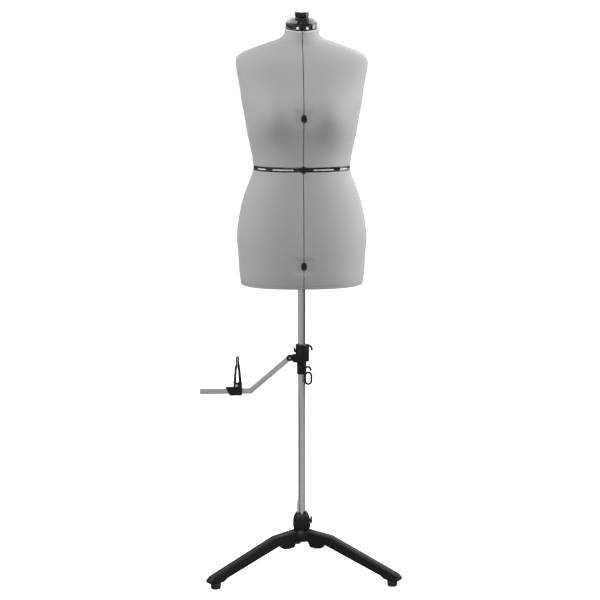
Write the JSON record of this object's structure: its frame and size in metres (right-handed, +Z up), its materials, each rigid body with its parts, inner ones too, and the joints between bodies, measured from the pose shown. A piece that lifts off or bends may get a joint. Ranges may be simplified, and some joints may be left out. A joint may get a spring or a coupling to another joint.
{
  "type": "dress form mannequin",
  "caption": "Key-adjusted dress form: split body panels on a sliding frame, neck unit, chrome pole on a low three-leg base, and a hem marker on the pole.",
  "frame": {"origin": "on the floor under the middle of the whole form's box, marker arm included", "axes": "+Z up along the pole, -Y towards the front of the form, +X towards the viewer's right when facing it"},
  "size_m": [0.533, 0.4544, 1.5162],
  "materials": {
    "cover_fabric": "matte grey jersey",
    "gloss_black": "polished",
    "satin_black": "fine satin",
    "inner_plastic": "moulded",
    "pole_chrome": "polished",
    "arm_steel": "satin grey",
    "fastener_steel": "satin",
    "frame_steel": "satin",
    "sleeve_grey": "satin",
    "foot_rubber": "matte"
  },
  "bodies": {
    "stand": {"base_hub": "satin_black", "leg_left": "satin_black", "leg_right": "satin_black", "leg_rear": "satin_black", "leg_screws": "fastener_steel", "rubber_feet": "foot_rubber", "socket_collar": "satin_black", "socket_sleeve": "sleeve_grey", "pole": "pole_chrome"},
    "socket_knob": {"socket_knob": "satin_black"},
    "marker_band": {"marker_band": "satin_black"},
    "marker_bracket": {"marker_bracket": "satin_black", "marker_arm_pin": "fastener_steel"},
    "marker_arm": {"marker_arm": "arm_steel"},
    "marker_slider": {"marker_slider": "satin_black", "marker_jaw_screw": "fastener_steel"},
    "marker_jaw": {"marker_jaw": "satin_black"},
    "marker_ring_screw": {"marker_ring_screw": "satin_black"},
    "height_lock": {"height_lock": "satin_black"},
    "core": {"lower_frame": "frame_steel"},
    "upper_core": {"upper_frame": "frame_steel", "neck_cap": "gloss_black"},
    "neck_left": {"neck_collar_left": "gloss_black", "neck_stud_left": "fastener_steel"},
    "neck_right": {"neck_collar_right": "gloss_black", "neck_stud_right": "fastener_steel"},
    "neck_dial": {"neck_dial": "gloss_black"},
    "lower_front_unit": {"lower_adjuster_front": "inner_plastic"},
    "lower_back_unit": {"lower_adjuster_back": "inner_plastic"},
    "lower_left_unit": {"lower_adjuster_left": "inner_plastic"},
    "lower_right_unit": {"lower_adjuster_right": "inner_plastic"},
    "lower_front_left": {"lower_panel_front_left": "cover_fabric", "waist_belt_front_left": "gloss_black"},
    "lower_front_right": {"lower_panel_front_right": "cover_fabric", "waist_belt_front_right": "gloss_black"},
    "lower_back_left": {"lower_panel_back_left": "cover_fabric", "waist_belt_back_left": "gloss_black"},
    "lower_back_right": {"lower_panel_back_right": "cover_fabric", "waist_belt_back_right": "gloss_black"},
    "upper_front_unit": {"upper_adjuster_front": "inner_plastic"},
    "upper_back_unit": {"upper_adjuster_back": "inner_plastic"},
    "upper_left_unit": {"upper_adjuster_left": "inner_plastic"},
    "upper_right_unit": {"upper_adjuster_right": "inner_plastic"},
    "upper_front_left": {"upper_panel_front_left": "cover_fabric"},
    "upper_front_right": {"upper_panel_front_right": "cover_fabric"},
    "upper_back_left": {"upper_panel_back_left": "cover_fabric"},
    "upper_back_right": {"upper_panel_back_right": "cover_fabric"},
    "hip_dial_front": {"hip_dial_front": "satin_black"},
    "hip_dial_back": {"hip_dial_back": "satin_black"},
    "hip_dial_left": {"hip_dial_left": "satin_black"},
    "hip_dial_right": {"hip_dial_right": "satin_black"},
    "waist_dial_front": {"waist_dial_front": "satin_black"},
    "waist_dial_back": {"waist_dial_back": "satin_black"},
    "waist_dial_left": {"waist_dial_left": "satin_black"},
    "waist_dial_right": {"waist_dial_right": "satin_black"},
    "bust_dial_front": {"bust_dial_front": "satin_black"},
    "bust_dial_back": {"bust_dial_back": "satin_black"},
    "bust_dial_left": {"bust_dial_left": "satin_black"},
    "bust_dial_right": {"bust_dial_right": "satin_black"}
  },
  "joints": [
    {"name": "socket_knob_turn", "type": "hinge", "parent": "stand", "child": "socket_knob", "pos_m": [0.03296, -0.0693, 0.146], "axis": [1, 0, 0], "range_deg": [-180, 180]},
    {"name": "marker_height", "type": "slide", "parent": "stand", "child": "marker_band", "axis": [0, 0, 1], "range_m": [-0.2, 0.1]},
    {"name": "marker_swivel", "type": "hinge", "parent": "marker_band", "child": "marker_bracket", "pos_m": [0.00446, -0.0693, 0.598], "axis": [0, 0, 1], "continuous": true},
    {"name": "marker_arm_fold", "type": "hinge", "parent": "marker_bracket", "child": "marker_arm", "pos_m": [-0.02854, -0.0817, 0.598], "axis": [0, 1, 0], "range_deg": [-30, 40]},
    {"name": "marker_clip_slide", "type": "slide", "parent": "marker_arm", "child": "marker_slider", "axis": [-1, 0, 0], "range_m": [-0.015, 0.075]},
    {"name": "marker_jaw_open", "type": "hinge", "parent": "marker_slider", "child": "marker_jaw", "pos_m": [-0.17034, -0.0833, 0.524], "axis": [0, 1, 0], "range_deg": [0, 25], "stiffness_Nm_per_rad": 0.06, "springref_deg": -20.05},
    {"name": "marker_screw_turn", "type": "hinge", "parent": "marker_band", "child": "marker_ring_screw", "pos_m": [0.01046, -0.0927, 0.566], "axis": [0, 1, 0], "range_deg": [-50, 90]},
    {"name": "form_height", "type": "slide", "parent": "stand", "child": "height_lock", "axis": [0, 0, 1], "range_m": [-0.1, 0.15]},
    {"name": "form_swivel", "type": "hinge", "parent": "height_lock", "child": "core", "pos_m": [0.00446, -0.0693, 0.812], "axis": [0, 0, 1], "continuous": true},
    {"name": "body_length", "type": "slide", "parent": "core", "child": "upper_core", "axis": [0, 0, 1], "range_m": [0, 0.04]},
    {"name": "neck_width", "type": "slide", "parent": "upper_core", "child": "neck_left", "axis": [-1, 0, 0], "range_m": [0, 0.006]},
    {"name": "neck_width_right", "type": "slide", "parent": "upper_core", "child": "neck_right", "axis": [1, 0, 0], "range_m": [0, 0.006]},
    {"name": "neck_dial_turn", "type": "hinge", "parent": "upper_core", "child": "neck_dial", "pos_m": [0.00446, -0.0693, 1.47], "axis": [0, -0.2079, 0.9781], "range_deg": [-0.5, 90.5]},
    {"name": "lower_width", "type": "slide", "parent": "core", "child": "lower_left_unit", "axis": [-1, 0, 0], "range_m": [0, 0.02]},
    {"name": "lower_width_right", "type": "slide", "parent": "core", "child": "lower_right_unit", "axis": [1, 0, 0], "range_m": [0, 0.02]},
    {"name": "lower_depth", "type": "slide", "parent": "lower_left_unit", "child": "lower_front_left", "axis": [0, -1, 0], "range_m": [0, 0.015]},
    {"name": "lower_front_right_slide", "type": "slide", "parent": "lower_right_unit", "child": "lower_front_right", "axis": [0, -1, 0], "range_m": [0, 0.015]},
    {"name": "lower_front_unit_slide", "type": "slide", "parent": "core", "child": "lower_front_unit", "axis": [0, -1, 0], "range_m": [0, 0.015]},
    {"name": "lower_back_left_slide", "type": "slide", "parent": "lower_left_unit", "child": "lower_back_left", "axis": [0, 1, 0], "range_m": [0, 0.015]},
    {"name": "lower_back_right_slide", "type": "slide", "parent": "lower_right_unit", "child": "lower_back_right", "axis": [0, 1, 0], "range_m": [0, 0.015]},
    {"name": "lower_back_unit_slide", "type": "slide", "parent": "core", "child": "lower_back_unit", "axis": [0, 1, 0], "range_m": [0, 0.015]},
    {"name": "hip_dial_front_turn", "type": "hinge", "parent": "lower_front_unit", "child": "hip_dial_front", "pos_m": [0.00446, -0.18805, 0.858], "axis": [0, -1, 0], "range_deg": [-0.5, 160.77]},
    {"name": "hip_dial_back_turn", "type": "hinge", "parent": "lower_back_unit", "child": "hip_dial_back", "pos_m": [0.00446, 0.05137, 0.858], "axis": [0, -1, 0], "range_deg": [-0.5, 160.77]},
    {"name": "hip_dial_left_turn", "type": "hinge", "parent": "lower_left_unit", "child": "hip_dial_left", "pos_m": [-0.16303, -0.0693, 0.858], "axis": [1, 0, 0], "range_deg": [-0.5, 120.7]},
    {"name": "hip_dial_right_turn", "type": "hinge", "parent": "lower_right_unit", "child": "hip_dial_right", "pos_m": [0.17196, -0.0693, 0.858], "axis": [1, 0, 0], "range_deg": [-0.5, 120.7]},
    {"name": "waist_dial_front_turn", "type": "hinge", "parent": "lower_front_unit", "child": "waist_dial_front", "pos_m": [0.00446, -0.16509, 1.106], "axis": [0, -1, 0], "range_deg": [-0.5, 160.77]},
    {"name": "waist_dial_back_turn", "type": "hinge", "parent": "lower_back_unit", "child": "waist_dial_back", "pos_m": [0.00446, 0.02345, 1.106], "axis": [0, -1, 0], "range_deg": [-0.5, 160.77]},
    {"name": "waist_dial_left_turn", "type": "hinge", "parent": "lower_left_unit", "child": "waist_dial_left", "pos_m": [-0.12379, -0.0693, 1.106], "axis": [1, 0, 0], "range_deg": [-0.5, 120.7]},
    {"name": "waist_dial_right_turn", "type": "hinge", "parent": "lower_right_unit", "child": "waist_dial_right", "pos_m": [0.13271, -0.0693, 1.106], "axis": [1, 0, 0], "range_deg": [-0.5, 120.7]},
    {"name": "upper_width", "type": "slide", "parent": "upper_core", "child": "upper_left_unit", "axis": [-1, 0, 0], "range_m": [0, 0.02]},
    {"name": "upper_width_right", "type": "slide", "parent": "upper_core", "child": "upper_right_unit", "axis": [1, 0, 0], "range_m": [0, 0.02]},
    {"name": "upper_depth", "type": "slide", "parent": "upper_left_unit", "child": "upper_front_left", "axis": [0, -1, 0], "range_m": [0, 0.015]},
    {"name": "upper_front_right_slide", "type": "slide", "parent": "upper_right_unit", "child": "upper_front_right", "axis": [0, -1, 0], "range_m": [0, 0.015]},
    {"name": "upper_front_unit_slide", "type": "slide", "parent": "upper_core", "child": "upper_front_unit", "axis": [0, -1, 0], "range_m": [0, 0.015]},
    {"name": "upper_back_left_slide", "type": "slide", "parent": "upper_left_unit", "child": "upper_back_left", "axis": [0, 1, 0], "range_m": [0, 0.015]},
    {"name": "upper_back_right_slide", "type": "slide", "parent": "upper_right_unit", "child": "upper_back_right", "axis": [0, 1, 0], "range_m": [0, 0.015]},
    {"name": "upper_back_unit_slide", "type": "slide", "parent": "upper_core", "child": "upper_back_unit", "axis": [0, 1, 0], "range_m": [0, 0.015]},
    {"name": "bust_dial_front_turn", "type": "hinge", "parent": "upper_front_unit", "child": "bust_dial_front", "pos_m": [0.00446, -0.18777, 1.24], "axis": [0, -1, 0], "range_deg": [-0.5, 160.77]},
    {"name": "bust_dial_back_turn", "type": "hinge", "parent": "upper_back_unit", "child": "bust_dial_back", "pos_m": [0.00446, 0.03879, 1.24], "axis": [0, -1, 0], "range_deg": [-0.5, 160.77]},
    {"name": "bust_dial_left_turn", "type": "hinge", "parent": "upper_left_unit", "child": "bust_dial_left", "pos_m": [-0.14594, -0.0693, 1.24], "axis": [1, 0, 0], "range_deg": [-0.5, 120.7]},
    {"name": "bust_dial_right_turn", "type": "hinge", "parent": "upper_right_unit", "child": "bust_dial_right", "pos_m": [0.15487, -0.0693, 1.24], "axis": [1, 0, 0], "range_deg": [-0.5, 120.7]}
  ],
  "couplings": [
    {"joint": "neck_width_right", "follows": "neck_width", "ratio": 1},
    {"joint": "neck_dial_turn", "follows": "neck_width", "rad_per_m": 261.8},
    {"joint": "lower_width_right", "follows": "lower_width", "ratio": 1},
    {"joint": "lower_front_right_slide", "follows": "lower_depth", "ratio": 1},
    {"joint": "lower_front_unit_slide", "follows": "lower_depth", "ratio": 1},
    {"joint": "lower_back_left_slide", "follows": "lower_depth", "ratio": 1},
    {"joint": "lower_back_right_slide", "follows": "lower_depth", "ratio": 1},
    {"joint": "lower_back_unit_slide", "follows": "lower_depth", "ratio": 1},
    {"joint": "hip_dial_front_turn", "follows": "lower_width", "rad_per_m": 139.86},
    {"joint": "hip_dial_back_turn", "follows": "lower_width", "rad_per_m": 139.86},
    {"joint": "hip_dial_left_turn", "follows": "lower_depth", "rad_per_m": 139.86},
    {"joint": "hip_dial_right_turn", "follows": "lower_depth", "rad_per_m": 139.86},
    {"joint": "waist_dial_front_turn", "follows": "lower_width", "rad_per_m": 139.86},
    {"joint": "waist_dial_back_turn", "follows": "lower_width", "rad_per_m": 139.86},
    {"joint": "waist_dial_left_turn", "follows": "lower_depth", "rad_per_m": 139.86},
    {"joint": "waist_dial_right_turn", "follows": "lower_depth", "rad_per_m": 139.86},
    {"joint": "upper_width_right", "follows": "upper_width", "ratio": 1},
    {"joint": "upper_front_right_slide", "follows": "upper_depth", "ratio": 1},
    {"joint": "upper_front_unit_slide", "follows": "upper_depth", "ratio": 1},
    {"joint": "upper_back_left_slide", "follows": "upper_depth", "ratio": 1},
    {"joint": "upper_back_right_slide", "follows": "upper_depth", "ratio": 1},
    {"joint": "upper_back_unit_slide", "follows": "upper_depth", "ratio": 1},
    {"joint": "bust_dial_front_turn", "follows": "upper_width", "rad_per_m": 139.86},
    {"joint": "bust_dial_back_turn", "follows": "upper_width", "rad_per_m": 139.86},
    {"joint": "bust_dial_left_turn", "follows": "upper_depth", "rad_per_m": 139.86},
    {"joint": "bust_dial_right_turn", "follows": "upper_depth", "rad_per_m": 139.86}
  ]
}
